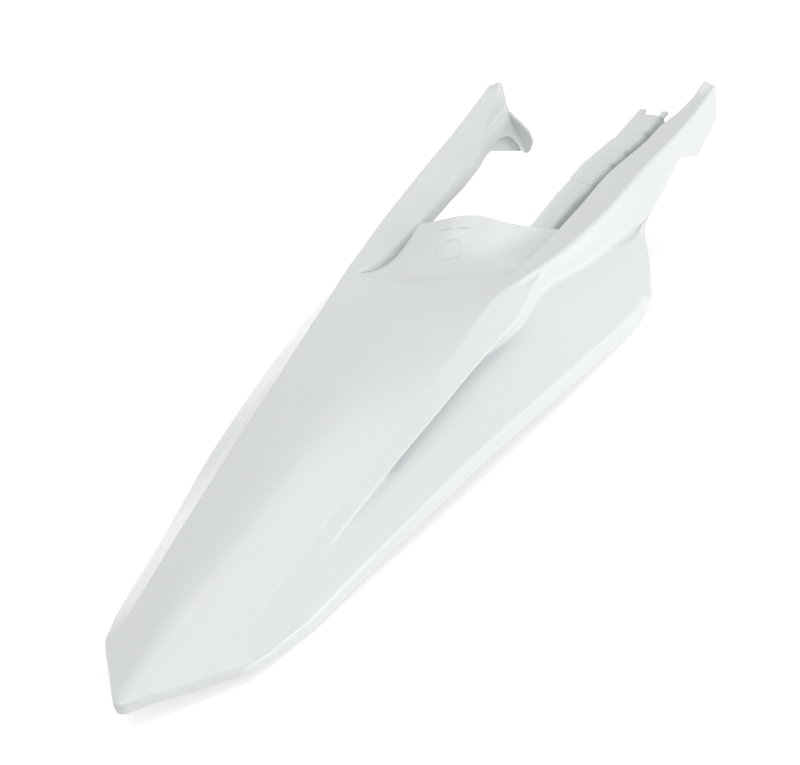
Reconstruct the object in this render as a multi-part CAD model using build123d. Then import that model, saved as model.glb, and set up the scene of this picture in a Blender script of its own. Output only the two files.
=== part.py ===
from build123d import *
import math
import os
from collections import namedtuple

# Rear fender of a motocross motorcycle, one injection-moulded shell of polypropylene.
# It is laid out level, with y running forward from the tail tip and z up, and set on the bench last.

# Driving dimensions in millimetres and degrees
wall = 2.6
skirt_tail = 7.2
skirt_front = 12.0
skirt_flare = 0.12
tail_tip_y = -2.0
tail_half_angle = 44.0
tail_tip_radius = 4.0
tail_straight = 71.0
tail_side_x = 69.5
tail_side_y = 100.0
tail_lip = 5.8
rail_lip = 9.0
groove_width = 2.6
groove_depth = 5.0
step_y = 407.0
step_bow = 8.0
deck_front_y = 486.0
deck_half = 59.0
shelf_bite = 0.8
ear_x = 74.0
ear_flange = 10.0
ear_relief = 52.0
saddle_radius = 27.8
saddle_width = 15.0
boss_spacing = 70.0
boss_radius = 8.0
boss_length = 15.0
bolt_radius = 3.3
bolt_depth = 12.0
boss_y = 438.0
boss_deck_z = -9.8
rest_pitch = 7.4
ridge_start_y = 149.0
reach = 200.0

# One cross-section of the shell. crease, ridge, foot and edge are (half width, height) of its feature lines: the
# top sheet's border, the brink and the bottom of the side-panel pocket, and the wing's edge. crown is the rise of
# the top sheet above the creases, and fullness is 1 for a round crown and 0 for one with a soft peak.
Station = namedtuple("Station", "y crease ridge foot edge crown fullness")
stations = [
    Station(-13, (37.8, -3.5), (41.6, -3.6), (44.1, -3.7), (51.0, -4.0), 12.0, 0.25),
    Station(27, (40.5, -0.9), (45.4, -2.4), (47.8, -3.1), (57.5, -5.9), 10.6, 0.32),
    Station(67, (43.4, 1.2), (49.4, -1.6), (51.6, -2.6), (64.0, -8.3), 9.5, 0.4),
    Station(108, (46.5, 2.9), (53.5, -1.3), (55.7, -2.6), (70.8, -11.5), 8.5, 0.5),
    Station(ridge_start_y, (49.5, 4.0), (57.8, -1.3), (59.3, -2.7), (78.0, -14.6), 8.0, 0.6),
    Station(229, (55.1, 4.5), (67.0, -1.3), (64.2, -7.2), (93.3, -20.0), 8.0, 0.8),
    Station(300, (60.2, 4.6), (74.3, -3.2), (69.9, -10.7), (104.3, -28.3), 6.0, 1.0),
    Station(350, (63.8, 5.0), (79.2, -5.4), (74.6, -12.9), (111.8, -36.5), 3.0, 1.0),
    Station(392, (66.8, 5.2), (83.0, -7.5), (80.8, -15.7), (118.0, -43.5), -1.0, 1.0),
    Station(425, (74.2, -0.2), (78.6, -8.0), (81.5, -16.6), (123.5, -49.5), -5.0, 1.0),
    Station(462, (81.3, -7.4), (85.6, -16.3), (89.4, -25.7), (129.5, -56.5), -8.5, 1.0),
    Station(495, (85.8, -12.0), (90.7, -22.2), (95.2, -33.0), (134.0, -62.5), -10.0, 1.0),
    Station(537, (89.7, -17.0), (95.7, -30.0), (101.2, -42.8), (137.0, -71.0), -11.0, 1.0),
    Station(577, (92.5, -20.5), (97.0, -30.5), (103.4, -45.0), (121.0, -85.0), -11.0, 1.0),
    Station(626, (97.4, -26.6), (98.2, -36.0), (99.1, -50.2), (103.0, -98.0), -11.0, 1.0),
    Station(674, (101.3, -30.6), (101.4, -42.0), (101.4, -55.0), (101.5, -102.0), -10.5, 1.0),
    Station(730, (101.8, -31.0), (101.6, -42.0), (101.5, -54.0), (101.0, -103.0), -10.0, 1.0),
]
front_y = 707.0


def skirt_height(y):
    share = min(max(y / deck_front_y, 0), 1)
    return skirt_tail + (skirt_front - skirt_tail) * share


def outer_chain(s):
    # right half of the outer skin: crease, strip ridge, pocket foot, wing edge, skirt hem
    drop = skirt_height(s.y)
    hem = (s.edge[0] + skirt_flare * drop, s.edge[1] - drop)
    return [Vector(*point) for point in (s.crease, s.ridge, s.foot, s.edge, hem)]


def inner_chain(s):
    # the same chain moved inwards by the wall, mitred at its corners
    points = outer_chain(s)
    start = Vector(s.crease[0], -2 * s.crown).normalized()
    headings = [start] + [(b - a).normalized() for a, b in zip(points, points[1:])]
    normals = [Vector(h.Y, -h.X) for h in headings]
    inner = []
    for i, point in enumerate(points):
        before = normals[i]
        after = normals[min(i + 1, len(normals) - 1)]
        inner.append(point + (before + after) * (wall / (1 + before.dot(after))))
    return inner


def section(y, half, rise, fullness, sink):
    # closed section: both mirrored sides, a crowned curve over the top and a straight foot
    right = [Vector(p.X, y, p.Y) for p in half]
    tail = right[-1] + Vector(0, 0, -sink)
    right = right[:-1] + [tail]
    left = [Vector(-p.X, y, p.Z) for p in right]
    shoulder = Vector(right[0].X / 2, 0, rise * fullness)
    peak = Vector(0, y, right[0].Z + rise * (8 - 4 * fullness) / 3)
    top = Bezier(left[0], left[0] + shoulder, peak, right[0] + Vector(-shoulder.X, 0, shoulder.Z), right[0])
    edges = [top]
    edges += [Line(a, b) for a, b in zip(right, right[1:])]
    edges += [Line(right[-1], left[-1])]
    edges += [Line(a, b) for a, b in zip(left[::-1], left[-2::-1])]
    return Face(Wire(edges))


def skin(sink, chain, inset):
    faces = []
    for s in stations:
        half = chain(s)
        rise = s.crease[1] + s.crown - inset - half[0].Y
        faces.append(section(s.y, half, rise, s.fullness, sink))
    return loft(faces)


def plan_prism(points):
    # upright prism over an outline in plan, taller than the fender
    outline = Polyline([Vector(x, y, -reach) for x, y in points], close=True)
    return extrude(make_face(outline), amount=2 * reach, dir=(0, 0, 1))


def tail_wedge(inset):
    # everything ahead of the rear edge: a rounded tip, two straight sides and round corners into the skirts
    half = math.radians(tail_half_angle)
    along = Vector(math.sin(half), math.cos(half), 0)
    inward = Vector(-math.cos(half), math.sin(half), 0)
    apex = Vector(0, tail_tip_y + inset / math.sin(half), -reach)
    tip_end = apex + along * (tail_tip_radius / math.tan(half))
    tip_mid = apex + Vector(0, tail_tip_radius / math.sin(half) - tail_tip_radius, 0)
    bend = Vector(0, tail_tip_y, -reach) + along * tail_straight + inward * inset
    side = Vector(tail_side_x - inset, tail_side_y, -reach)
    beyond = [side + Vector(reach, reach, 0), Vector(side.X + reach, 4 * reach, -reach)]
    right = [tip_end, bend, side] + beyond
    left = [Vector(-p.X, p.Y, p.Z) for p in right]
    edges = [
        ThreePointArc(left[0], tip_mid, right[0]),
        Line(right[0], right[1]),
        TangentArc(right[1], right[2], tangent=along),
        Polyline(right[2:] + left[:1:-1]),
        TangentArc(left[1], left[2], tangent=Vector(-along.X, along.Y, 0)),
        Line(left[1], left[0]),
    ]
    return extrude(make_face(edges), amount=2 * reach, dir=(0, 0, 1))


def turned_lip(band, depth):
    # a wall of the band's width that hangs from the outer skin by the depth
    return (band & outer) - Pos(0, 0, -depth) * outer


outer = skin(0, outer_chain, 0)
inner = skin(skirt_front, inner_chain, wall)

# Tail: pointed rear edge with rounded corners and a low turned-down lip
shell = (outer & tail_wedge(0)) - (inner & tail_wedge(wall))
tail_band = tail_wedge(0) - tail_wedge(wall + 1)
shell -= tail_band & (Pos(0, 0, -tail_lip) * outer)

# Opening between the arms, from the seat step to the slanted arm ends, with lipped inner edges
arm_inner = [
    (62, step_y + step_bow), (58.5, 454), (59.4, 505), (61.4, 569),
    (64, 588), (72.5, 624), (73.7, 662), (92, front_y + 1),
]


def arm_opening(grow):
    right = [(x + grow, y - grow / 2) for x, y in arm_inner]
    corner_x, corner_y = right[0]
    ends = [Vector(side * corner_x, corner_y, -reach) for side in (-1, 1)]
    step = ThreePointArc(ends[0], Vector(0, step_y - grow, -reach), ends[1])
    side = right + [(right[-1][0], 4 * reach)]
    loop = [Vector(x, y, -reach) for x, y in side] + [Vector(-x, y, -reach) for x, y in side[::-1]]
    outline = Wire([step] + [Line(p, q) for p, q in zip(loop, loop[1:])])
    return extrude(Face(outline), amount=2 * reach, dir=(0, 0, 1))


opening = arm_opening(0)
inner_lips = turned_lip(arm_opening(wall) - opening, rail_lip)
shell = shell - opening + inner_lips

# Side view: what lies under this line is cut away, which leaves the wing front, the arm walls and end tabs
wing_low_y = 478.0
wing_top_y = 537.0
underline = [
    (448, -68), (wing_low_y, -60), (wing_top_y, -45), (567, -41), (627, -45),
    (650, -62), (680, -58), (694, -55), (699, -43), (704, -33), (front_y, -20),
]
ahead = [(front_y, 2 * reach), (4 * reach, 2 * reach), (4 * reach, -2 * reach)]
below = [(430, -2 * reach)] + underline + ahead
side_cut = Polyline([Vector(-reach, y, z) for y, z in below], close=True)
shell -= extrude(make_face(side_cut), amount=2 * reach, dir=(1, 0, 0))


# Seat deck: riser, shallow basin and raised front tongue, lofted across the width
def deck_profile(x, rear, basin, front):
    top = [rear, ((rear[0] + basin[0]) / 2 - 2, (rear[1] + basin[1]) / 2 - 1), basin, front]
    low = [(y, z - wall) for y, z in top]
    upper = Spline([Vector(x, y, z) for y, z in top])
    lower = Spline([Vector(x, y, z) for y, z in low[::-1]])
    ends = [Line(upper @ 1, lower @ 0), Line(lower @ 1, upper @ 0)]
    return Face(Wire([upper, ends[0], lower, ends[1]]))


deck_side = deck_profile(deck_half + 1.5, (step_y + step_bow - 1, 0.5), (442, -10.0), (500, -19.5))
deck_quarter = deck_profile(deck_half / 2, (step_y + 0.8, 1.0), (436, -9.5), (deck_front_y, -5.5))
deck_middle = deck_profile(0, (step_y - 1.2, 1.5), (434, -9.0), (deck_front_y, -1.5))
deck_left = [mirror(profile, Plane.YZ) for profile in (deck_side, deck_quarter)]
deck = loft(deck_left + [deck_middle, deck_quarter, deck_side])
shell += deck

# Shelf along the inside of the right arm only: it carries the deck on beside the rail,
# with two prongs in front
Shelf = namedtuple("Shelf", "y inner root")
shelf_stations = [
    Shelf(deck_front_y - 2, (43, -11.5), (60.5, -18.2)),
    Shelf(540, (40.5, -19.5), (60.8, -25.5)),
    Shelf(590, (41.5, -26.5), (65.8, -32.5)),
    Shelf(632, (49, -32.5), (74.0, -36.0)),
    Shelf(676, (50, -37.5), (76.5, -39.5)),
]


def shelf_section(s):
    # a plate that stops short of the rail, turns down and runs under a narrow groove to the rail's lip
    tip = Vector(s.inner[0], s.y, s.inner[1])
    brink = Vector(s.root[0] - groove_width, s.y, s.root[1])
    bed = brink - Vector(0, 0, groove_depth)
    anchor = Vector(s.root[0] + shelf_bite, s.y, bed.Z)
    fall = Vector(0, 0, -wall)
    back = Vector(-wall, 0, 0)
    outline = [tip, brink, bed, anchor, anchor + fall, bed + fall + back, brink + fall + back, tip + fall]
    return make_face(Polyline(outline, close=True))


shelf = loft([shelf_section(s) for s in shelf_stations], ruled=True)
prong_gap = plan_prism([(53, 670), (65, 670), (65.5, 690), (52.5, 690)])
prong_end = plan_prism([(69, 668), (90, 660), (90, 690), (69, 690)])
shell += shelf - prong_gap - prong_end

# Mounting ears under the arm tips: an arched web, a saddle round the arch and a flange along the front edge.
# The right one is lower, clear of the shelf's prongs.
web_points = [(628, -33), (634, -49), (687, -86), (691, -80), (679, -33)]
web_face = make_face(Polyline([Vector(ear_x, y, z) for y, z in web_points], close=True))
arch_axis = Pos(ear_x, 650, -83.5) * Rot(0, 90, 0)
arch = arch_axis * Cylinder(saddle_radius, 4 * saddle_width)
drum = arch_axis * Cylinder(saddle_radius + wall, 4 * saddle_width)
web = extrude(web_face, amount=wall, dir=(1, 0, 0))
saddle = extrude(web_face, amount=saddle_width, dir=(1, 0, 0)) & drum
flange_plane = Plane(origin=(ear_x, 679, -36), x_dir=(-1, 0, 0), z_dir=(0, -0.977, -0.215))
flange_points = [(-wall, 0), (1, 0), (ear_flange, 34), (ear_flange, 43), (0.6 * ear_flange, 49), (-wall, 50)]
flange = extrude(flange_plane * make_face(Polyline(flange_points, close=True)), amount=wall)
ear = (web + saddle) - arch + flange
shell += mirror(ear, Plane.YZ)
shell += ear - Pos(ear_x, 690, 0) * Box(4 * saddle_width, 70, 2 * ear_relief)

# Set on the bench, with two blind screw bosses under the deck
fender = Rot(rest_pitch, 0, 0) * shell
box = fender.bounding_box()
set_down = Pos(-box.center().X, -box.center().Y, -box.min.Z) * Rot(rest_pitch, 0, 0)
fender = set_down * shell
hanging = (Align.CENTER, Align.CENTER, Align.MAX)
for side in (-1, 1):
    seat = (set_down * Pos(side * boss_spacing / 2, boss_y, boss_deck_z)).position
    axis = Pos(seat.X, seat.Y, seat.Z - wall / 2)
    fender += axis * Cylinder(boss_radius, boss_length, align=hanging)
    fender -= axis * Pos(0, 0, bolt_depth - boss_length) * Cylinder(bolt_radius, bolt_depth, align=hanging)

os.makedirs("parts", exist_ok=True)
export_step(fender, "parts/rear_fender.step")
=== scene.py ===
import bpy
import math
import numpy as np
from mathutils import Matrix, Vector


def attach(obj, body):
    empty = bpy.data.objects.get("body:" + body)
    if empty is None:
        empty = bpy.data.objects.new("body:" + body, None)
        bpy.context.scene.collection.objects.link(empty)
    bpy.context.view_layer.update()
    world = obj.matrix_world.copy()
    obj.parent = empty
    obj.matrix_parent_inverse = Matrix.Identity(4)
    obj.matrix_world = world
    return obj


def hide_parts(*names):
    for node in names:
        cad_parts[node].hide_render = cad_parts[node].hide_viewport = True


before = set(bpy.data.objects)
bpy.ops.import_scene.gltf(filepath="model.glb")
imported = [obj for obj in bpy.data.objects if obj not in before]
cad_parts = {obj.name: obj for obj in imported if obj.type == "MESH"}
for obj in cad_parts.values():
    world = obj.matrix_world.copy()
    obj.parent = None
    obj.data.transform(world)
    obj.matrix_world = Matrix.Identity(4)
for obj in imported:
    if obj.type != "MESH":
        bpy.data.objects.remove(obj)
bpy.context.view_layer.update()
print("frame loaded:", list(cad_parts))

# The moulding is laid out level in millimetres: x right, y forward from the tail tip, z up.
# On the bench it is tipped by the pitch and moved by the shift.
bench = {"pitch": 7.4, "shift": (0.0, -350.831, 7.607)}


# Turns level points about x by the pitch, moves them by the shift and gives metres.
def toBench(points):
    pitch = math.radians(bench["pitch"])
    x, y, z = np.moveaxis(np.asarray(points, float), -1, 0)
    forward = y * math.cos(pitch) - z * math.sin(pitch)
    up = y * math.sin(pitch) + z * math.cos(pitch)
    return (np.stack([x, forward, up], axis=-1) + np.array(bench["shift"])) / 1000.0


# Natural cubic spline through the knots: the second derivatives come from one linear solve.
def smoothLine(knots, values):
    k = np.asarray(knots, float)
    v = np.asarray(values, float).reshape(len(k), -1)
    gap = np.diff(k)
    mid = np.arange(1, len(k) - 1)
    system = np.eye(len(k))
    system[mid, mid - 1] = gap[:-1]
    system[mid, mid] = 2 * (gap[:-1] + gap[1:])
    system[mid, mid + 1] = gap[1:]
    pull = np.zeros_like(v)
    pull[1:-1] = 6 * np.diff(np.diff(v, axis=0) / gap[:, None], axis=0)
    bend = np.linalg.solve(system, pull)

    def at(place):
        place = np.asarray(place, float)
        s = np.clip(np.searchsorted(k, place) - 1, 0, len(k) - 2)
        after = ((place - k[s]) / gap[s])[..., None]
        before = 1 - after
        curve = (before ** 3 - before) * bend[s] + (after ** 3 - after) * bend[s + 1]
        return before * v[s] + after * v[s + 1] + curve * (gap[s] ** 2 / 6)[..., None]

    return at


# Eases from 0 at low to 1 at high: a cubic that is level at both ends.
def ease(value, low, high):
    share = np.clip((value - low) / (high - low), 0, 1)
    return share * share * (3 - 2 * share)


# Unit vectors along the last axis.
def unit(vector):
    return vector / np.maximum(np.linalg.norm(vector, axis=-1, keepdims=True), 1e-9)


shell = {
    "wall": 2.6,
    "sharpAngle": 40.0,
    "skirtTail": 7.2,
    "skirtFront": 12.0,
    "skirtFlare": 0.12,
    "skirtFullAt": 486.0,
    # how far the panel's rounding draws back from its edge, and the y over which that comes in
    "brimShare": 0.1,
    "brimFrom": (452, 486),
    # clearance of the wall above the lower edge, and the least shares of the wall and the panel
    "wallClear": 0.5,
    "leastWall": 0.1,
    "leastPanel": 0.02,
    "leastMitre": 0.5,
    # rounding of each corner of the section, as y and tangent length
    "creaseRound": [(0, 1.6), (390, 1.6), (450, 3.0)],
    "ridgeRound": [(0, 1.2), (200, 1.5), (300, 3.0), (420, 3.0), (480, 2.4)],
    "footRound": [(0, 2.0), (180, 1.0), (340, 1.6), (430, 7.0)],
    "edgeRound": [(0, 5.5), (100, 5.0), (170, 2.4)],
    # least tangent length, and the most that a rounding takes of the straights beside it
    "leastRound": 0.3,
    "creaseShare": 0.4,
    "roundShare": 0.45,
    "lipRound": 2.8,
    "lipSteps": (6, 5),
    "tailRound": 3.6,
    # y, then x and z of the crease, ridge, pocket foot and edge, then crown and fullness
    "stations": [
        (-13, 37.8, -3.5, 41.6, -3.6, 44.1, -3.7, 51.0, -4.0, 12.0, 0.25),
        (27, 40.5, -0.9, 45.4, -2.4, 47.8, -3.1, 57.5, -5.9, 10.6, 0.32),
        (67, 43.4, 1.2, 49.4, -1.6, 51.6, -2.6, 64.0, -8.3, 9.5, 0.4),
        (108, 46.5, 2.9, 53.5, -1.3, 55.7, -2.6, 70.8, -11.5, 8.5, 0.5),
        (149, 49.5, 4.0, 57.8, -1.3, 59.3, -2.7, 78.0, -14.6, 8.0, 0.6),
        (229, 55.1, 4.5, 67.3, -1.5, 62.5, -5.8, 94.0, -20.0, 8.0, 0.8),
        (300, 60.2, 4.6, 75.2, -3.6, 66.5, -8.5, 107.0, -27.9, 6.0, 1.0),
        (350, 63.8, 5.0, 80.0, -5.8, 72.0, -11.2, 116.2, -35.8, 3.0, 1.0),
        (392, 66.8, 5.2, 83.0, -7.5, 80.8, -15.7, 122.8, -42.8, -1.0, 1.0),
        (425, 75.4, -0.2, 79.4, -8.0, 81.8, -16.6, 127.6, -48.9, -5.0, 1.0),
        (462, 83.6, -7.4, 87.4, -16.3, 90.4, -25.7, 130.0, -56.2, -8.5, 1.0),
        (495, 88.8, -12.0, 93.2, -22.2, 96.6, -33.0, 134.0, -62.5, -10.0, 1.0),
        (537, 92.8, -17.0, 98.0, -30.0, 102.2, -42.8, 137.0, -71.0, -11.0, 1.0),
        (577, 95.2, -20.5, 99.0, -30.5, 103.6, -45.0, 121.0, -85.0, -11.0, 1.0),
        (626, 99.2, -26.6, 99.8, -36.0, 100.4, -50.2, 103.0, -98.0, -11.0, 1.0),
        (674, 102.4, -30.6, 102.2, -42.0, 101.9, -55.0, 101.5, -102.0, -10.5, 1.0),
        (730, 102.8, -31.0, 102.4, -42.0, 101.9, -54.0, 101.0, -103.0, -10.0, 1.0),
    ],
    # lower edge of the wing front and of the arm walls, as y and z
    "underline": [
        (448, -68), (478, -60), (537, -46), (567, -44.2), (590, -45.2),
        (627, -45), (650, -62), (680, -58), (694, -55),
    ],
    # front end of the arm walls, as z and y, and the y at which the section's heights are read for it
    "armNose": [(-55, 694), (-43, 699), (-33, 704), (-20, 707)],
    "noseAt": 690.0,
    # inner edge of both arms, as y and x, how the left and the right one end, and how far it is evened
    "armInner": [(415, 62), (454, 58.5), (505, 59.4), (569, 61.4), (588, 64), (624, 72.5)],
    "leftEnd": [(662, 73.4), (677, 73.8), (682.4, 76.9), (702.8, 89), (708, 92)],
    "rightEnd": [(654, 75), (662, 79.5), (668, 82), (690, 87.5), (708, 94)],
    "armEven": 4.0,
    "stepY": 407.0,
    "stepBow": 8.0,
    "stepHalf": 62.0,
    # depth of the lip round the opening, as y and depth
    "railLip": [(480, 9.0), (545, 9.5), (585, 13.0), (612, 17.0), (640, 17.0), (660, 12.0), (708, 8.0)],
    "tailTip": -2.0,
    "tailAngle": 44.0,
    "tailTipRound": 4.0,
    "tailStraight": 71.0,
    "tailSide": (69.5, 100.0),
    "tailLip": 5.8,
    # half width from which the tail's lip turns into the skirt
    "tailJoin": 52.0,
    # first and last y of the search for the tail's edge, and its number of places
    "tailSearch": (-8, 140, 1481),
    "tailBlend": 150.0,
    # height by which the arm tips curl up, and the y over which they do
    "tipLift": 4.5,
    "tipFrom": (686, 706),
    # pad on the wing front: y of its rear border and how the border bows, the columns that it covers,
    # the y over which it rises and fades, and the share of its height that goes sideways and up
    "pad": {
        "at": 500.0,
        "bow": 7.0,
        "bowAt": 6.4,
        "bowWidth": 0.5,
        "across": (5.6, 6.1),
        "end": 7.0,
        "lift": 2.2,
        "ramp": 8.0,
        "fade": (536, 548),
        "lean": (0.61, 0.79),
    },
    # notch ahead of the strip: y of its two ends, the columns that it covers, and its lean as above
    "notch": {
        "from": (412, 416),
        "to": (428, 437),
        "across": (1.7, 2.15),
        "end": 3.4,
        "fade": 1.25,
        "depth": 2.2,
        "lean": (0.3, 0.95),
    },
    # painted shade under the brink: columns over which it comes in and fades, and the y of its two ends
    "shadeIn": (4.4, 5.2),
    "shadeOut": (6.02, 6.18),
    "shadeFrom": (220, 234),
    "shadeTo": (345, 386),
    # polish on the crease: columns over which it comes in and fades, and the y of its front end
    "polishIn": (0.9, 1.0),
    "polishOut": (2.0, 2.15),
    "polishTo": (396, 420),
}
stationRows = np.array(shell["stations"], float)
stationAt = smoothLine(stationRows[:, 0], stationRows[:, 1:])
underKnots = np.array(shell["underline"], float)
wingLow = underKnots[1, 0]


# Plan line of the tail's rear edge, as y for a half width: a round tip, a straight side and an arc
# into the skirt.
def tailEdge(x, inset):
    half = math.radians(shell["tailAngle"])
    sine, cosine = math.sin(half), math.cos(half)
    apex = shell["tailTip"] + inset / sine
    radius = shell["tailTipRound"]
    ball = apex + radius / sine
    bendX = shell["tailStraight"] * sine - inset * cosine
    bendY = shell["tailTip"] + shell["tailStraight"] * cosine + inset * sine
    sideX = shell["tailSide"][0] - inset
    chord = np.array([sideX - bendX, shell["tailSide"][1] - bendY])
    # the arc leaves the straight side along it: its centre lies on the side's normal
    turn = (chord @ chord) / (2 * (chord @ np.array([-cosine, sine])))
    centre = np.array([bendX, bendY]) + turn * np.array([-cosine, sine])
    x = np.abs(x)
    tip = ball - np.sqrt(np.maximum(radius ** 2 - x ** 2, 0))
    side = apex + x * cosine / sine
    inArc = np.clip(x, None, sideX)
    arc = centre[1] - np.sqrt(np.maximum(turn ** 2 - (inArc - centre[0]) ** 2, 0)) + (x - inArc)
    return np.where(x < radius * cosine, tip, np.where(x < bendX, side, arc))


# Half width of the opening's edge along an arm: the mean of the knots' line a little behind and ahead.
def armEdge(y, end):
    knots = np.array(shell["armInner"] + shell[end], float)
    behind, ahead = [np.interp(y + way * shell["armEven"], knots[:, 0], knots[:, 1]) for way in (-1, 1)]
    return (behind + ahead) / 2


# Plan line of the seat step: a shallow bow.
def stepEdge(x):
    return shell["stepY"] + shell["stepBow"] * (x / shell["stepHalf"]) ** 2


# Point of a quadratic curve with its control at the corner.
def corner(start, control, end, share):
    share = share[..., None]
    return (1 - share) ** 2 * start + 2 * share * (1 - share) * control + share ** 2 * end


# Corner points of the section at y, for the outer skin or for one moved inwards along the mitres.
def chainAt(y, inset):
    v = stationAt(y)
    crease, ridge, foot, edge = [v[..., 2 * i:2 * i + 2] for i in range(4)]
    crown, fullness = v[..., 8], v[..., 9]
    under = np.interp(y, underKnots[:, 0], underKnots[:, 1])
    # ahead of the wing the wall under the ridge ends just above the side view's lower edge
    left = (ridge[..., 1] - under - shell["wallClear"]) / (ridge[..., 1] - foot[..., 1])
    keep = np.where(y < wingLow, 1.0, np.clip(left, shell["leastWall"], 1))
    foot = ridge + (foot - ridge) * keep[..., None]
    left = (foot[..., 1] - under) / (foot[..., 1] - edge[..., 1])
    reach = np.where(y < wingLow, 1.0, np.clip(left, shell["leastPanel"], 1))
    low = foot + (edge - foot) * reach[..., None]
    hold = 1 - shell["brimShare"] * ease(y, *shell["brimFrom"])
    brim = foot + (low - foot) * hold[..., None]
    growth = np.clip(y / shell["skirtFullAt"], 0, 1)
    full = shell["skirtTail"] + (shell["skirtFront"] - shell["skirtTail"]) * growth
    drop = np.where(y < wingLow, np.clip(np.minimum(full, low[..., 1] - under), 0, None), 0.0)
    drop = np.where(y < underKnots[0, 0], full, drop)
    hem = low + np.stack([shell["skirtFlare"] * drop, -drop], axis=-1)
    points = [crease, ridge, foot, brim, hem]
    if inset == 0:
        return points, crown, fullness
    start = unit(np.stack([crease[..., 0], -2 * crown * fullness], axis=-1))
    headings = [start] + [unit(b - a) for a, b in zip(points, points[1:])]
    normals = [np.stack([h[..., 1], -h[..., 0]], axis=-1) for h in headings]
    moved = []
    for i, point in enumerate(points):
        before, after = normals[i], normals[min(i + 1, len(normals) - 1)]
        mitre = 1 + np.sum(before * after, axis=-1, keepdims=True)
        moved.append(point + (before + after) * inset / np.maximum(mitre, shell["leastMitre"]))
    rise = crease[..., 1] + crown - inset - moved[0][..., 1]
    return moved, rise, fullness


# Height of the crowned top sheet at a share of the crease's half width: a quartic with its peak on the
# centre line.
def crownPoint(crease, rise, fullness, share):
    u = (1 + share) / 2
    broad = 4 * u * (1 - u) * ((1 - u) ** 2 + u ** 2) * fullness
    peak = 2 * u ** 2 * (1 - u) ** 2 * (8 - 4 * fullness)
    return np.stack([crease[..., 0] * share, crease[..., 1] + rise * (broad + peak)], axis=-1)


# half width of the centre part at the step, and the y at which the step meets the arms
innerStart = shell["stepHalf"] + shell["lipRound"]
stepEnd = float(stepEdge(innerStart) - shell["lipRound"])


# Share of the crease's half width at which a side part begins: one fixed share behind the step, and the
# arm's edge ahead of it.
def innerShare(y, end):
    width = stationAt(y)[..., 0]
    fixed = innerStart / stationAt(np.array(stepEnd))[..., 0]
    return np.where(y < stepEnd, fixed, (armEdge(y, end) + shell["lipRound"]) / width)


# Section point: column 0 to 1 runs over the crown, then each unit is an arc or a straight of the section
# in turn.
def sectionPoint(y, column, inset, end="rightEnd"):
    stops, rise, fullness = chainAt(y, inset)
    crease = stops[0]
    lengths = [np.linalg.norm(b - a, axis=-1) for a, b in zip(stops, stops[1:])]
    names = ("creaseRound", "ridgeRound", "footRound", "edgeRound")
    wanted = [np.interp(y, *np.array(shell[name], float).T) for name in names]
    grown = [
        np.maximum(wanted[1] - inset, shell["leastRound"]),
        wanted[2] + inset / 2,
        np.maximum(wanted[3] - inset, shell["leastRound"]),
    ]
    creaseCut = np.minimum(wanted[0], shell["creaseShare"] * lengths[0])
    most = [shell["roundShare"] * np.minimum(a, b) for a, b in zip(lengths, lengths[1:])]
    cuts = [np.minimum(a, b) for a, b in zip(grown, most)]
    shareEnd = 1 - creaseCut / crease[..., 0]
    first = innerShare(y, end)
    crown = crownPoint(crease, rise, fullness, first + (shareEnd - first) * np.clip(column, 0, 1))
    begin = crownPoint(crease, rise, fullness, shareEnd)
    last = crease + unit(stops[1] - crease) * creaseCut[..., None]
    places = [crown, corner(begin, crease, last, np.clip(column - 1, 0, 1))]
    for i in range(3):
        here, after = stops[i + 1], stops[i + 2]
        start = here - unit(here - stops[i]) * cuts[i][..., None]
        share = np.clip(column - 2 - 2 * i, 0, 1)[..., None]
        places.append(last + (start - last) * share)
        last = here + unit(after - here) * cuts[i][..., None]
        places.append(corner(start, here, last, np.clip(column - 3 - 2 * i, 0, 1)))
    share = np.clip(column - 8, 0, 1)[..., None]
    places.append(last + (stops[-1] - last) * share)
    which = np.clip(np.ceil(column).astype(int) - 1, 0, len(places) - 1)
    picked = np.take_along_axis(np.stack(places), which[None, ..., None], axis=0)[0]
    return np.stack([picked[..., 0], y, picked[..., 1]], axis=-1)


# Point of the centre part at a signed share of the half width that the side parts leave.
def centrePoint(y, across, inset):
    stops, rise, fullness = chainAt(y, inset)
    flat = crownPoint(stops[0], rise, fullness, across * innerShare(y, "rightEnd"))
    return np.stack([flat[..., 0], y, flat[..., 1]], axis=-1)


# First y of each column at which its point is ahead of the tail's rear edge, set between two places of
# the search by the distances left.
def tailStart(point, columns, inset):
    back = shell["tailRound"]
    y = np.linspace(*shell["tailSearch"])[:, None] + np.zeros(len(columns))
    x = point(y, columns[None, :] + np.zeros_like(y), inset)[..., 0]
    behind = y < tailEdge(x, back)
    last = np.clip(behind.sum(axis=0) - 1, 0, len(y) - 2)
    pick = np.arange(len(columns))
    y0, y1 = y[last, pick], y[last + 1, pick]
    d0, d1 = y0 - tailEdge(x[last, pick], back), y1 - tailEdge(x[last + 1, pick], back)
    return y0 + (y1 - y0) * d0 / (d0 - d1)


# columns that each unit of the section gets, and the column at which the edge's rounding begins
groups = [9, 7, 6, 6, 5, 6, 18, 7, 5]
sideColumns = np.concatenate([[0.0]] + [i + np.arange(1, n + 1) / n for i, n in enumerate(groups)])
brimColumn = sum(groups[:7])
centreColumns = np.linspace(-1, 1, 49)
# rows as shares of the way to the blend line, from there to the step, and along the arms
tailRows = np.linspace(0, 1, 27)
mainRows = np.linspace(0, 1, 63)[1:]
armRows = np.linspace(0, 1, 131)[1:]


# Rows of y for every column: from the tail's edge to the blend line, then on to the end line.
def rowsTo(starts, ends):
    blend = shell["tailBlend"]
    tail = starts + (blend - starts) * tailRows[:, None]
    main = blend + (ends - blend) * mainRows[:, None]
    return np.concatenate([tail, main])


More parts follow.
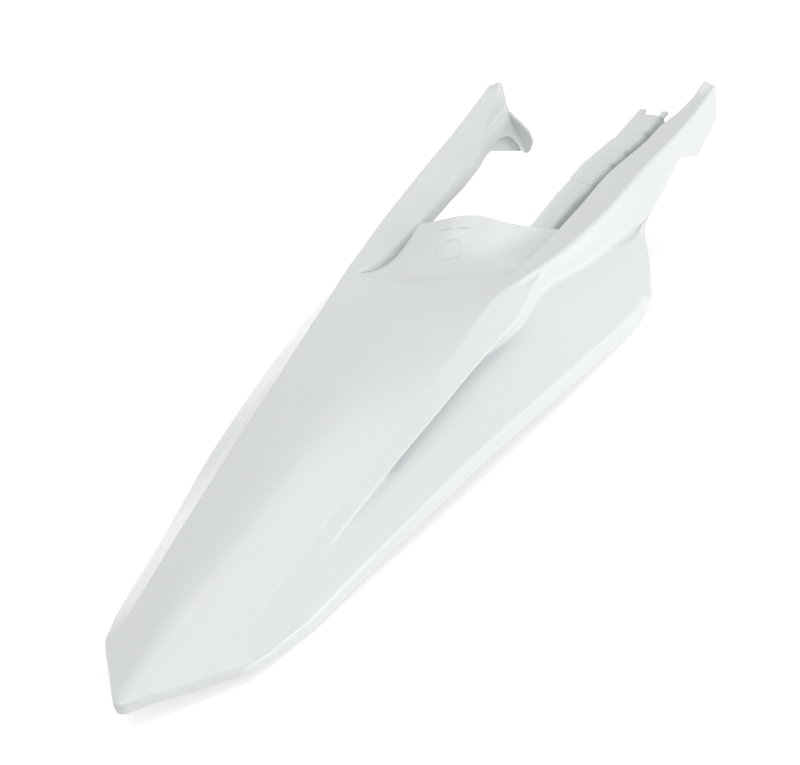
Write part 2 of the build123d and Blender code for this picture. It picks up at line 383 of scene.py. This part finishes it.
# Side part: the section carried from the tail to the arm's nose, then the tip's lift, a pad that fills the
# wing front's cove behind a shallow arc, and a notch that flattens the strip's front end.
def sideSkin(inset, end):
    starts = tailStart(sectionPoint, sideColumns, inset)
    rows = rowsTo(starts, np.full(len(sideColumns), stepEnd))
    nose = np.array(shell["armNose"], float)
    height = sectionPoint(np.full(len(sideColumns), shell["noseAt"]), sideColumns, inset)[:, 2]
    ends = np.interp(height, nose[:, 0], nose[:, 1])
    arm = stepEnd + (ends - stepEnd) * armRows[:, None]
    y = np.concatenate([rows, arm])
    points = sectionPoint(y, sideColumns[None, :] + np.zeros_like(y), inset, end)
    points[..., 2] += shell["tipLift"] * ease(y, *shell["tipFrom"]) * ease(-sideColumns, -1, 0)
    pad, notch = shell["pad"], shell["notch"]
    border = pad["at"] + pad["bow"] * np.exp(-((sideColumns - pad["bowAt"]) / pad["bowWidth"]) ** 2)
    fill = ease(sideColumns, *pad["across"]) * np.clip(pad["end"] - sideColumns, 0, 1)
    lift = pad["lift"] * fill * ease(y - border, 0, pad["ramp"]) * (1 - ease(y, *pad["fade"]))
    dip = ease(sideColumns, *notch["across"]) * np.clip((notch["end"] - sideColumns) / notch["fade"], 0, 1)
    sink = notch["depth"] * dip * ease(y, *notch["from"]) * (1 - ease(y, *notch["to"]))
    points[..., 0] += pad["lean"][0] * lift - notch["lean"][0] * sink
    points[..., 2] += pad["lean"][1] * lift - notch["lean"][1] * sink
    return points


# Centre part: the crown between the side parts, from the tail's edge to the step's lip.
def centreSkin(inset):
    starts = tailStart(centrePoint, centreColumns, inset)
    rows = rowsTo(starts, stepEdge(innerStart * centreColumns) - shell["lipRound"])
    return centrePoint(rows, centreColumns[None, :] + np.zeros_like(rows), inset)


# A lip turned down from an edge line: a quarter round along the plan normals, then a straight drop.
def turnedLip(edge, normals, radius, depth, arcSteps, dropSteps):
    angle = np.linspace(0, math.pi / 2, arcSteps + 1)[1:]
    ahead = np.concatenate([radius * np.sin(angle), np.full(dropSteps, radius)])
    depth = np.broadcast_to(depth, len(edge))
    floor = np.linspace(-radius + 0 * depth, -depth, dropSteps + 1)[1:]
    bend = np.broadcast_to(-radius * (1 - np.cos(angle))[:, None], (arcSteps, len(edge)))
    step = np.zeros((len(ahead), len(edge), 3))
    step[..., :2] = normals[None] * ahead[:, None, None]
    step[..., 2] = np.concatenate([bend, floor])
    return np.concatenate([edge[None], edge[None] + step])


# Plan normals of an open line, on its right-hand side.
def sideNormals(line):
    run = np.gradient(line[:, :2], axis=0)
    return unit(np.stack([run[:, 1], -run[:, 0]], axis=-1))


class Sheet:
    # collects grids of an outer and an inner skin that share their layout, with the outer skin's painted
    # shade and polish
    def __init__(self):
        self.outer, self.inner, self.quads, self.wear, self.count = [], [], [], [], 0

    def add(self, outer, inner, flip=False, wear=0.0):
        rows, columns = outer.shape[:2]
        index = np.arange(rows * columns).reshape(rows, columns) + self.count
        a, b, c, d = index[:-1, :-1], index[:-1, 1:], index[1:, 1:], index[1:, :-1]
        quads = np.stack([a, d, c, b] if flip else [a, b, c, d], axis=-1).reshape(-1, 4)
        self.outer.append(outer.reshape(-1, 3))
        self.inner.append(inner.reshape(-1, 3))
        self.quads.append(quads)
        self.wear.append(np.broadcast_to(wear, (rows, columns)).reshape(-1))
        self.count += rows * columns

    # welds equal outer points, drops folded faces and closes the rim between the two skins
    def closed(self):
        outer, inner = np.concatenate(self.outer), np.concatenate(self.inner)
        quads, wear = np.concatenate(self.quads), np.concatenate(self.wear)
        first, same = np.unique(np.round(outer, 3), axis=0, return_index=True, return_inverse=True)[1:]
        outer, inner, wear = outer[first], inner[first], wear[first]
        quads = same.reshape(-1)[quads]
        ordered = np.sort(quads, axis=1)
        quads = quads[(np.diff(ordered, axis=1) > 0).all(axis=1)]
        edges = np.stack([quads, np.roll(quads, -1, axis=1)], axis=-1).reshape(-1, 2)
        code = np.sort(edges, axis=1) @ np.array([len(outer), 1])
        where, uses = np.unique(code, return_inverse=True, return_counts=True)[1:]
        rim = edges[uses[where.reshape(-1)] == 1]
        size = len(outer)
        sides = np.stack([rim[:, 1], rim[:, 0], rim[:, 0] + size, rim[:, 1] + size], axis=-1)
        faces = np.concatenate([quads, quads[:, ::-1] + size, sides])
        finish = np.repeat([0, 1, 0], [len(quads), len(quads), len(sides)])
        return np.concatenate([outer, inner]), faces.tolist(), finish, np.concatenate([wear, 0 * wear])


# Points moved to the other side of the middle plane.
def mirrored(points):
    return points * np.array([-1.0, 1.0, 1.0])


# Painted shade in the corner under the strip's brink: full at the pocket's foot, fading out over the panel
# and at both ends.
def undercutShade(points):
    y = points[..., 1]
    across = ease(sideColumns, *shell["shadeIn"]) * (1 - ease(sideColumns, *shell["shadeOut"]))
    along = ease(y, *shell["shadeFrom"]) * (1 - ease(y, *shell["shadeTo"]))
    return across * along


# Polish on the crease: full on its rounding, fading out ahead of the seat step.
def creasePolish(points):
    across = ease(sideColumns, *shell["polishIn"]) * (1 - ease(sideColumns, *shell["polishOut"]))
    return across * (1 - ease(points[..., 1], *shell["polishTo"]))


# The whole shell: centre, right and left parts, the lip round the opening and the lip along the tail.
# Its per-point attribute is painted shade above 0 and the crease's polish, a lower roughness, below.
def fenderSkin():
    sheet = Sheet()
    wall = shell["wall"]
    sides = [sideSkin(0.0, "rightEnd"), sideSkin(wall, "rightEnd")]
    lefts = [mirrored(sideSkin(0.0, "leftEnd")), mirrored(sideSkin(wall, "leftEnd"))]
    centres = [centreSkin(0.0), centreSkin(wall)]
    # painted shade in the corner under the brink, minus the polish on the crease
    wear = undercutShade(sides[0]) - creasePolish(sides[0])
    sheet.add(*centres)
    sheet.add(*sides, wear=wear)
    sheet.add(*lefts, flip=True, wear=wear)
    stepRow = len(tailRows) + len(mainRows) - 1

    # lip round the opening: along the left arm, across the seat step and along the right arm
    lips = []
    nose = np.array(shell["armNose"], float)
    for centre, side, left, inset in zip(centres, sides, lefts, (0.0, wall)):
        right = side[stepRow:, 0]
        line = np.concatenate([left[stepRow:, 0][:0:-1], centre[-1], right[1:]])
        normals = -sideNormals(line)
        turnAt = [len(right) - 1, len(line) - len(right)]
        for place, sign in zip(turnAt, (1.0, -1.0)):
            normals[place] = (sign, 1.0)
        depth = np.interp(line[:, 1], *np.array(shell["railLip"], float).T) - inset
        strip = turnedLip(line, normals, shell["lipRound"] - inset, depth, *shell["lipSteps"])
        strip[..., 1] = np.minimum(strip[..., 1], np.interp(strip[..., 2], nose[:, 0], nose[:, 1]))
        lips.append(strip)
    sheet.add(*lips)

    # lip along the tail, whose ends run into the skirts
    tails = []
    for centre, side, inset in zip(centres, sides, (0.0, wall)):
        right = side[0, : brimColumn + 1]
        line = np.concatenate([mirrored(right)[:0:-1], centre[0], right[1:]])
        radius, depth = shell["tailRound"] - inset, shell["tailLip"] - inset
        strip = turnedLip(line, sideNormals(line), radius, depth, groups[7], groups[8])
        goal = side[0, brimColumn:]
        near = ease(np.abs(line[:, 0]), shell["tailJoin"], abs(line[-1, 0]))[None, :, None]
        flips = np.ones_like(line)
        flips[line[:, 0] < 0, 0] = -1.0
        tails.append(strip + (goal - strip[:, -1])[:, None] * flips * near)
    sheet.add(*tails, flip=True)
    return sheet.closed()


deck = {
    "half": 60.5,
    # rear, basin and front of the profile as y and z, at the middle, the quarter and the side
    "middle": [(406.3, 0.3), (434, -9.0), (486, 1.6)],
    "quarter": [(408.3, 0.25), (436, -9.5), (486, -4.2)],
    "side": [(414.0, 0.5), (446, -15.5), (500, -19.5)],
    # bend of the riser, away from the middle of its chord
    "knee": (-2.0, -1.0),
    "rows": 37,
    "columns": 57,
    # plain moulded marks: a ring and two dashes, as x and y of their middles
    "ring": (-6.0, 456.0),
    "ringRadius": 9.5,
    "ringSteps": 61,
    "dashes": [(-19.0, 475.0), (-3.0, 475.5)],
    "dashLength": 11.0,
    "dashSteps": 7,
    "markWidth": 1.1,
    "markHeight": 0.22,
    "markSink": 0.5,
}


# Profiles of the deck at shares of its half width: splines from the step through the basin to the front,
# blended across the width by another spline.
def deckProfiles(across):
    along = np.linspace(0, 1, deck["rows"])
    profiles = []
    for name in ("middle", "quarter", "side"):
        rear, basin, front = np.array(deck[name], float)
        knee = (rear + basin) / 2 + np.array(deck["knee"])
        line = np.stack([rear, knee, basin, front])
        reach = np.concatenate([[0], np.cumsum(np.linalg.norm(np.diff(line, axis=0), axis=1))])
        profiles.append(smoothLine(reach / reach[-1], line)(along))
    middle, quarter, side = profiles
    knots = np.array([-1, -0.5, 0, 0.5, 1.0])
    stack = np.stack([side, quarter, middle, quarter, side]).reshape(len(knots), -1)
    return smoothLine(knots, stack)(across).reshape(len(across), len(along), 2)


# Seat deck: its profiles side by side.
def seatDeck():
    across = np.linspace(-1, 1, deck["columns"])
    spread = deckProfiles(across)
    x = np.broadcast_to((across * deck["half"])[:, None, None], spread.shape[:2] + (1,))
    top = np.swapaxes(np.concatenate([x, spread], axis=-1), 0, 1)
    sheet = Sheet()
    sheet.add(top, top - np.array([0, 0, shell["wall"]]))
    return sheet.closed()


# A mark that stands up from the deck: a line of places with a low square section, whose height follows
# the deck.
def deckMark(x, y):
    line = np.stack([x, y], axis=-1)
    side = sideNormals(line) * deck["markWidth"] / 2
    rim = np.stack([line - side, line + side, line + side, line - side], axis=1)
    profiles = deckProfiles(x / deck["half"])
    height = np.array([np.interp(place, profile[:, 0], profile[:, 1]) for place, profile in zip(y, profiles)])
    up = np.array([-deck["markSink"], -deck["markSink"], deck["markHeight"], deck["markHeight"]])
    return closedTube(np.concatenate([rim, (height[:, None] + up[None, :])[..., None]], axis=-1))


# The deck's marks: a circle and straight dashes.
def deckMarks():
    turn = np.linspace(0, 2 * math.pi, deck["ringSteps"])
    x, y = deck["ring"]
    marks = [deckMark(x + deck["ringRadius"] * np.cos(turn), y + deck["ringRadius"] * np.sin(turn))]
    for x, y in deck["dashes"]:
        run = np.linspace(-0.5, 0.5, deck["dashSteps"]) * deck["dashLength"]
        marks.append(deckMark(x + run, y + 0 * run))
    return marks


shelf = {
    # y, inner x and z, root x and z
    "stations": [
        (484, 41.0, -11.5, 60.5, -18.2),
        (540, 38.0, -19.5, 60.8, -25.5),
        (590, 38.4, -26.5, 65.8, -32.5),
        (632, 44.8, -32.5, 74.0, -36.0),
        (680, 46.2, -37.5, 77.0, -39.5),
    ],
    "end": 672.0,
    "rows": 110,
    # distance from the rail and depth of the trench beside it, from the brink's round to its bed
    "trench": [(12.0, 0.0), (10.0, 0.5), (8.6, 1.8), (7.8, 4.0), (7.6, 9.0)],
    # painted shade on the section's points: the inner edge, the trench, its bed's end and the underside
    "trenchShade": [0.0] + [0.0, 0.35, 0.8, 1.0, 1.0] + [1.0, 0.0, 0.0, 0.0, 0.0],
    "bite": 0.8,
    # the plate is raised between two steps, each with its own rows
    "stepAt": (567.0, 632.0),
    "stepHeight": 1.1,
    "stepReach": 0.6,
    "stepRows": (-0.6, -0.2, 0.2, 0.6),
    "clipAt": (598.0, 617.0, 646.0),
    "clipHalf": 2.4,
    "clipDepth": 2.0,
    "prongRoot": 1.5,
    "prongEnd": 679.0,
    "prongs": [(46.2, 51.0), (64.8, 69.0)],
}


# Section of the shelf at y: a plate whose brink rolls down into a trench, and the trench's bed on to
# the rail.
def shelfSection(y):
    rows = np.array(shelf["stations"], float)
    innerX, innerZ, rootX, rootZ = [np.interp(y, rows[:, 0], rows[:, i]) for i in (1, 2, 3, 4)]
    up, down = [ease(y, place - shelf["stepReach"], place + shelf["stepReach"]) for place in shelf["stepAt"]]
    lift = shelf["stepHeight"] * (up - down)
    nick = sum(np.exp(-((y - place) / shelf["clipHalf"]) ** 4) for place in shelf["clipAt"])
    brink = rootX - nick * shelf["clipDepth"]
    wall = shell["wall"]
    bedDepth = shelf["trench"][-1][1]
    roll = [(brink - away, rootZ + lift * (1 - deep / bedDepth) - deep) for away, deep in shelf["trench"]]
    bedX, bedZ = roll[-1]
    endX = rootX + shelf["bite"]
    under = [(endX, bedZ), (endX, bedZ - wall), (bedX - wall, bedZ - wall), (roll[0][0] - wall, rootZ - wall)]
    corners = [(innerX, innerZ + lift)] + roll + under + [(innerX, innerZ - wall)]
    return np.stack([np.stack([x, y, z], axis=-1) for x, z in corners], axis=1)


# Turns the faces of a closed piece outwards: its volume, summed over fans of tetrahedra, has to be above 0.
def outward(points, faces):
    fans = [(points[face[0]], points[face[1:-1]], points[face[2:]]) for face in map(np.array, faces)]
    volume = sum(np.sum(np.cross(second, third) @ first) for first, second, third in fans)
    return faces if volume > 0 else [face[::-1] for face in faces]


# Closes a tube of equal rings with a flat face at each end.
def closedTube(rings, wear=0.0):
    rows, columns = rings.shape[:2]
    points = rings.reshape(-1, 3)
    index = np.arange(rows * columns).reshape(rows, columns)
    after = np.roll(index, -1, axis=1)
    quads = np.stack([index[:-1], after[:-1], after[1:], index[1:]], axis=-1).reshape(-1, 4)
    faces = outward(points, quads.tolist() + [index[0, ::-1].tolist(), index[-1].tolist()])
    wear = np.broadcast_to(wear, (rows, columns)).reshape(-1)
    return points, faces, np.zeros(len(faces), dtype=int), wear


# Shelf of the right arm: its section carried forward, with two short prongs ahead of it.
def armShelf():
    near = [place + shift for place in shelf["stepAt"] for shift in shelf["stepRows"]]
    y = np.linspace(shelf["stations"][0][0], shelf["end"], shelf["rows"])
    y = np.unique(np.concatenate([y, near]))
    # the trench beside the rail is darkened with painted shade, set per point of the section
    parts = [closedTube(shelfSection(y), np.array(shelf["trenchShade"])[None, :])]
    tip = shelfSection(np.array([shelf["end"] - shelf["prongRoot"], shelf["prongEnd"]]))
    for low, high in shelf["prongs"]:
        share = (np.array([low, high]) - tip[0, 0, 0]) / (tip[0, 1, 0] - tip[0, 0, 0])
        top = tip[:, :1] + (tip[:, 1:2] - tip[:, :1]) * share[None, :, None]
        below = top[:, ::-1] - np.array([0, 0, shell["wall"]])
        parts.append(closedTube(np.concatenate([top, below], axis=1)))
    return parts


ear = {
    "x": 74.0,
    # ends of the left web beside its arch, as y and z
    "heel": [(628, -33), (634, -49)],
    "toe": [(687, -86.5), (679, -33)],
    "archCentre": (646, -81.8),
    "archRadius": 32.0,
    "archFrom": 106.0,
    "archTo": 3.5,
    "archSteps": 31,
    "saddleWidth": 8.0,
    # plate that closes the arch's far end, as y and z
    "back": [(644, -46), (647.6, -58.6), (696, -93.2), (694, -64)],
    # outline of the flange: width from the web and place along its fall
    "flange": [
        (-2.6, 1), (0, 2.3), (6.9, 16.5), (10.8, 26.3),
        (10.7, 36.8), (4.7, 46.3), (1, 49.4), (-2.6, 49.4),
    ],
    "flangeFoot": (679.2, -37.7),
    "flangeFall": (0.165, -0.986),
    # outline of the right ear, which is a plain web
    "right": [(628, -46.5), (672, -74), (672, -49)],
}


# A flat plate: an outline and the same outline moved by the thickness, joined round its edge.
def plate(outline, thickness):
    outline = np.asarray(outline, float)
    return closedTube(np.stack([outline, outline + np.asarray(thickness, float)]))


# Points on the ear's arch: a circle's arc, at the given radius.
def archLine(radius):
    angle = np.radians(np.linspace(ear["archFrom"], ear["archTo"], ear["archSteps"]))
    return np.array(ear["archCentre"]) + radius * np.stack([np.cos(angle), np.sin(angle)], axis=-1)


# Places in y and z, set at one x.
def placedAt(x, line):
    return np.insert(np.array(line, float), 0, x, axis=1)


# Ear under the left arm's tip: an arched web along the arm, a saddle round the arch, a plate that closes
# it, and a flange across the front edge.
def leftEar():
    wall = shell["wall"]
    near, far = archLine(ear["archRadius"]), archLine(ear["archRadius"] + wall)
    web = np.concatenate([ear["heel"], near, ear["toe"]])
    inner, outer = -(ear["x"] + wall / 2), -(ear["x"] + ear["saddleWidth"])
    ring = [placedAt(inner, near), placedAt(outer, near), placedAt(outer, far), placedAt(inner, far)]
    across, along = np.array(ear["flange"], float).T
    fall = ear["flangeFall"]
    face = np.stack([
        across - ear["x"],
        ear["flangeFoot"][0] + fall[0] * along,
        ear["flangeFoot"][1] + fall[1] * along,
    ], axis=-1)
    return [
        plate(placedAt(-ear["x"], web), (-wall, 0, 0)),
        closedTube(np.stack(ring, axis=1)),
        plate(placedAt(outer, ear["back"]), (-wall, 0, 0)),
        plate(face, (0, fall[1] * wall, -fall[0] * wall)),
    ]


# Ear under the right arm's tip: a plain web.
def rightEar():
    return [plate(placedAt(ear["x"], ear["right"]), (shell["wall"], 0, 0))]


boss = {
    "spacing": 70.0,
    "radius": 8.0,
    "length": 15.0,
    "hole": 3.3,
    "depth": 12.0,
    "chamfer": 0.6,
    "footY": 84.784,
    "footZ": 38.001,
    "steps": 49,
}


# Screw boss under the deck, on the bench: a profile of radius and height turned about the screw's axis.
def screwBoss(side):
    radius, hole, chamfer = boss["radius"], boss["hole"], boss["chamfer"]
    line = np.array([
        (0.0, boss["depth"]),
        (hole, boss["depth"]),
        (hole, chamfer),
        (hole + chamfer, 0.0),
        (radius - chamfer, 0.0),
        (radius, chamfer),
        (radius, boss["length"]),
        (0.0, boss["length"]),
    ])
    turn = np.linspace(0, 2 * math.pi, boss["steps"])
    ring = np.stack([np.cos(turn), np.sin(turn)], axis=-1)
    height = np.broadcast_to(line[:, None, 1:], (len(line), len(turn), 1))
    points = np.concatenate([line[:, None, :1] * ring[None], height], axis=-1)
    points = points + np.array([side * boss["spacing"] / 2, boss["footY"], boss["footZ"]])
    rows, columns = points.shape[:2]
    index = np.arange(rows * columns).reshape(rows, columns)
    a, b, c, d = index[:-1, :-1], index[1:, :-1], index[1:, 1:], index[:-1, 1:]
    faces = np.stack([a, b, c, d], axis=-1).reshape(-1, 4).tolist()
    return points.reshape(-1, 3) / 1000.0, faces, np.ones(len(faces), dtype=int), np.zeros(rows * columns)


# All parts in one mesh, each with its finish by face and its painted shade and polish by point.
def buildFender():
    parts = [fenderSkin(), seatDeck()] + deckMarks() + armShelf() + leftEar() + rightEar()
    placed = [(toBench(points), faces, finish, wear) for points, faces, finish, wear in parts]
    placed += [screwBoss(-1), screwBoss(1)]
    points, faces, count = [], [], 0
    for corners, polygons, finish, wear in placed:
        points.append(corners)
        faces += [[i + count for i in polygon] for polygon in polygons]
        count += len(corners)
    mesh = bpy.data.meshes.new("fender_shell")
    mesh.from_pydata(np.concatenate(points).tolist(), [], faces)
    mesh.polygons.foreach_set("material_index", np.concatenate([part[2] for part in placed]))
    # per point: painted shade above 0, the crease's polish below
    layer = mesh.attributes.new("wear", "FLOAT", "POINT")
    layer.data.foreach_set("value", np.concatenate([part[3] for part in placed]).astype(np.float32))
    mesh.validate()
    mesh.polygons.foreach_set("use_smooth", np.ones(len(mesh.polygons), dtype=bool))
    mesh.set_sharp_from_angle(angle=math.radians(shell["sharpAngle"]))
    piece = bpy.data.objects.new("fender_shell", mesh)
    bpy.context.collection.objects.link(piece)
    print("fender shell:", len(mesh.polygons), "faces")
    return piece


fender = buildFender()
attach(fender, "root")
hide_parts("rear_fender")

plastic = {
    # the polished outer skin and the plain underside of the same moulding
    "glossSkin": {
        "pale": (0.805, 0.832, 0.828),
        "deep": (0.785, 0.812, 0.81),
        "smooth": 0.2,
        "dull": 0.26,
        "grain": 0.12,
    },
    "plainUnderside": {
        "pale": (0.77, 0.79, 0.79),
        "deep": (0.73, 0.755, 0.76),
        "smooth": 0.38,
        "dull": 0.52,
        "grain": 0.4,
    },
    # roughness of the polished creases, and tone of the shade painted into the grooves
    "polished": 0.13,
    "shadeTone": (0.64, 0.665, 0.675),
    # noise scales per metre: tone of the melt flow along the moulding, polish, and the skin's fine ripple
    "flowScale": (9.0, 2.5, 9.0),
    "flowDetail": 3.0,
    "polishScale": 26.0,
    "polishDetail": 4.0,
    "polishRange": (0.3, 0.7),
    "rippleScale": 420.0,
    "rippleDetail": 2.0,
    "rippleDepth": 0.0002,
    "ior": 1.49,
}


# Node group of the moulded surface: a stretched noise mixes two tones, a second one moves the roughness
# between two values, and a fine third one is the ripple's height. The attribute above 0 brings in the
# painted shade's tone, and below 0 the polished roughness.
def mouldedSurface():
    tree = bpy.data.node_groups.new("moulded_surface", "ShaderNodeTree")
    for name in ("Pale", "Deep", "ShadeTone"):
        tree.interface.new_socket(name, in_out="INPUT", socket_type="NodeSocketColor")
    for name in ("Smooth", "Dull"):
        tree.interface.new_socket(name, in_out="INPUT", socket_type="NodeSocketFloat")
    for name, kind in (("Tone", "Color"), ("Roughness", "Float"), ("Ripple", "Float")):
        tree.interface.new_socket(name, in_out="OUTPUT", socket_type="NodeSocket" + kind)
    nodes, links = tree.nodes, tree.links
    given, made = nodes.new("NodeGroupInput"), nodes.new("NodeGroupOutput")
    place = nodes.new("ShaderNodeTexCoord")
    stretch = nodes.new("ShaderNodeMapping")
    stretch.inputs["Scale"].default_value = plastic["flowScale"]
    flow, polish, ripple = [nodes.new("ShaderNodeTexNoise") for i in range(3)]
    flow.inputs["Scale"].default_value = 1.0
    flow.inputs["Detail"].default_value = plastic["flowDetail"]
    polish.inputs["Scale"].default_value = plastic["polishScale"]
    polish.inputs["Detail"].default_value = plastic["polishDetail"]
    ripple.inputs["Scale"].default_value = plastic["rippleScale"]
    ripple.inputs["Detail"].default_value = plastic["rippleDetail"]
    tone = nodes.new("ShaderNodeMix")
    tone.data_type = "RGBA"
    spread = nodes.new("ShaderNodeMapRange")
    spread.inputs["From Min"].default_value, spread.inputs["From Max"].default_value = plastic["polishRange"]
    links.new(place.outputs["Object"], stretch.inputs["Vector"])
    links.new(stretch.outputs["Vector"], flow.inputs["Vector"])
    links.new(place.outputs["Object"], polish.inputs["Vector"])
    links.new(place.outputs["Object"], ripple.inputs["Vector"])
    links.new(flow.outputs["Fac"], tone.inputs["Factor"])
    links.new(given.outputs["Pale"], tone.inputs["A"])
    links.new(given.outputs["Deep"], tone.inputs["B"])
    links.new(polish.outputs["Fac"], spread.inputs["Value"])
    links.new(given.outputs["Smooth"], spread.inputs["To Min"])
    links.new(given.outputs["Dull"], spread.inputs["To Max"])
    # where the attribute is above 0 the painted shade's tone is mixed in
    shadeAndPolishRead = nodes.new("ShaderNodeAttribute")
    shadeAndPolishRead.attribute_name = "wear"
    shaded = nodes.new("ShaderNodeMix")
    shaded.data_type = "RGBA"
    links.new(shadeAndPolishRead.outputs["Fac"], shaded.inputs["Factor"])
    links.new(tone.outputs["Result"], shaded.inputs["A"])
    links.new(given.outputs["ShadeTone"], shaded.inputs["B"])
    links.new(shaded.outputs["Result"], made.inputs["Tone"])
    rubbed = nodes.new("ShaderNodeMath")
    rubbed.operation = "MULTIPLY"
    rubbed.use_clamp = True
    rubbed.inputs[1].default_value = -1.0
    polished = nodes.new("ShaderNodeMix")
    polished.inputs["B"].default_value = plastic["polished"]
    links.new(shadeAndPolishRead.outputs["Fac"], rubbed.inputs[0])
    links.new(rubbed.outputs[0], polished.inputs["Factor"])
    links.new(spread.outputs["Result"], polished.inputs["A"])
    links.new(polished.outputs["Result"], made.inputs["Roughness"])
    links.new(ripple.outputs["Fac"], made.inputs["Ripple"])
    return tree


# Material of one finish: the surface group feeds the shader's colour, roughness and bump.
def mouldedPlastic(name, surface):
    finish = plastic[name]
    material = bpy.data.materials.new(name)
    material.use_nodes = True
    nodes, links = material.node_tree.nodes, material.node_tree.links
    shader = nodes["Principled BSDF"]
    shader.inputs["IOR"].default_value = plastic["ior"]
    group = nodes.new("ShaderNodeGroup")
    group.node_tree = surface
    group.inputs["Pale"].default_value = finish["pale"] + (1.0,)
    group.inputs["Deep"].default_value = finish["deep"] + (1.0,)
    # tone of the shade painted into the grooves
    group.inputs["ShadeTone"].default_value = plastic["shadeTone"] + (1.0,)
    group.inputs["Smooth"].default_value = finish["smooth"]
    group.inputs["Dull"].default_value = finish["dull"]
    bump = nodes.new("ShaderNodeBump")
    bump.inputs["Strength"].default_value = finish["grain"]
    bump.inputs["Distance"].default_value = plastic["rippleDepth"]
    links.new(group.outputs["Tone"], shader.inputs["Base Color"])
    links.new(group.outputs["Roughness"], shader.inputs["Roughness"])
    links.new(group.outputs["Ripple"], bump.inputs["Height"])
    links.new(bump.outputs["Normal"], shader.inputs["Normal"])
    return material


surfaceGroup = mouldedSurface()
for finishName in ("glossSkin", "plainUnderside"):
    fender.data.materials.append(mouldedPlastic(finishName, surfaceGroup))
print("materials set")

studio = {
    "floorSize": 8.0,
    "floorTone": 0.8,
    "floorWhite": 0.6,
    "world": 0.48,
    # soft boxes: turn about the object and rise in degrees, distance and size in metres, power in watts
    "boxes": {
        "above": {"turn": 165, "rise": 76, "away": 1.8, "size": (1.4, 1.4), "power": 10.0},
        "highLeft": {"turn": 180, "rise": 50, "away": 1.8, "size": (1.0, 0.8), "power": 3.4},
        "rightMid": {"turn": 28, "rise": 12, "away": 1.8, "size": (1.2, 0.6), "power": 5.2},
        "rightLow": {"turn": -10, "rise": 4, "away": 1.8, "size": (1.6, 0.25), "power": 10.5},
        "left": {"turn": 180, "rise": 10, "away": 1.8, "size": (1.4, 0.9), "power": 0.3},
        "viewer": {"turn": -50, "rise": 28, "away": 1.8, "size": (1.2, 0.8), "power": 1.8},
        "creaseRight": {"turn": 106, "rise": 50, "away": 1.8, "size": (0.2, 0.9), "power": 0.4},
    },
}


# Floor that takes the shadow as a plain diffuse surface and adds a glow to what the camera, glossy and
# transmission rays see of it.
def studioFloor():
    half = studio["floorSize"]
    mesh = bpy.data.meshes.new("studio_floor")
    corners = [(-half, -half, 0), (half, -half, 0), (half, half, 0), (-half, half, 0)]
    mesh.from_pydata(corners, [], [(0, 1, 2, 3)])
    floor = bpy.data.objects.new("studio_floor", mesh)
    bpy.context.collection.objects.link(floor)
    material = bpy.data.materials.new("pale_floor")
    material.use_nodes = True
    nodes, links = material.node_tree.nodes, material.node_tree.links
    nodes.clear()
    output = nodes.new("ShaderNodeOutputMaterial")
    diffuse = nodes.new("ShaderNodeBsdfDiffuse")
    diffuse.inputs["Color"].default_value = (studio["floorTone"], studio["floorTone"], studio["floorTone"], 1)
    path = nodes.new("ShaderNodeLightPath")
    glow = nodes.new("ShaderNodeEmission")
    both = nodes.new("ShaderNodeAddShader")
    seen = nodes.new("ShaderNodeMath")
    seen.operation = "MAXIMUM"
    bounced = nodes.new("ShaderNodeMath")
    bounced.operation = "MAXIMUM"
    links.new(path.outputs["Is Glossy Ray"], bounced.inputs[0])
    links.new(path.outputs["Is Transmission Ray"], bounced.inputs[1])
    links.new(path.outputs["Is Camera Ray"], seen.inputs[0])
    links.new(bounced.outputs[0], seen.inputs[1])
    strength = nodes.new("ShaderNodeMath")
    strength.operation = "MULTIPLY"
    strength.inputs[1].default_value = studio["floorWhite"]
    links.new(seen.outputs[0], strength.inputs[0])
    links.new(strength.outputs[0], glow.inputs["Strength"])
    links.new(diffuse.outputs[0], both.inputs[0])
    links.new(glow.outputs[0], both.inputs[1])
    links.new(both.outputs[0], output.inputs["Surface"])
    mesh.materials.append(material)
    return floor


# Even white light from all round.
def studioWorld():
    world = bpy.data.worlds.new("studio")
    bpy.context.scene.world = world
    world.use_nodes = True
    background = world.node_tree.nodes["Background"]
    background.inputs["Strength"].default_value = studio["world"]
    background.inputs["Color"].default_value = (1, 1, 1, 1)


# Soft box on a sphere round the object, facing its middle.
def studioBox(name, box):
    lamp = bpy.data.lights.new(name, "AREA")
    lamp.shape = "RECTANGLE"
    lamp.size, lamp.size_y = box["size"]
    lamp.energy = box["power"]
    holder = bpy.data.objects.new(name, lamp)
    turn, rise = math.radians(box["turn"]), math.radians(box["rise"])
    aim = Vector((math.cos(rise) * math.cos(turn), math.cos(rise) * math.sin(turn), math.sin(rise)))
    holder.location = aim * box["away"]
    holder.rotation_euler = (-aim).to_track_quat("-Z", "Y").to_euler()
    holder.visible_camera = False
    bpy.context.collection.objects.link(holder)


studioFloor()
studioWorld()
for boxName, boxValues in studio["boxes"].items():
    studioBox(boxName, boxValues)

# eye and view axes in the level layout, lens and sensor width in millimetres
camera = {
    "eye": (750.37, -508.91, 788.80),
    "right": (0.84124, 0.44697, -0.30421),
    "down": (0.07824, -0.65738, -0.74948),
    "ahead": (-0.53497, 0.60669, -0.58799),
    "lens": 90.0,
    "sensor": 36.0,
}


# Camera of the photo: its axes are taken to the bench as differences of points.
def photoCamera():
    lens = bpy.data.cameras.new("photo_camera")
    lens.lens = camera["lens"]
    lens.sensor_width = camera["sensor"]
    holder = bpy.data.objects.new("photo_camera", lens)
    eye = np.array(camera["eye"])
    spot = toBench(eye)
    axes = [(toBench(eye + np.array(camera[name])) - spot) * 1000 for name in ("right", "down", "ahead")]
    turn = Matrix((axes[0], -axes[1], -axes[2])).transposed().to_4x4()
    holder.matrix_world = Matrix.Translation(Vector(spot)) @ turn
    bpy.context.collection.objects.link(holder)
    bpy.context.scene.camera = holder


photoCamera()
bpy.context.scene.view_settings.view_transform = "Standard"
print("studio and camera set")
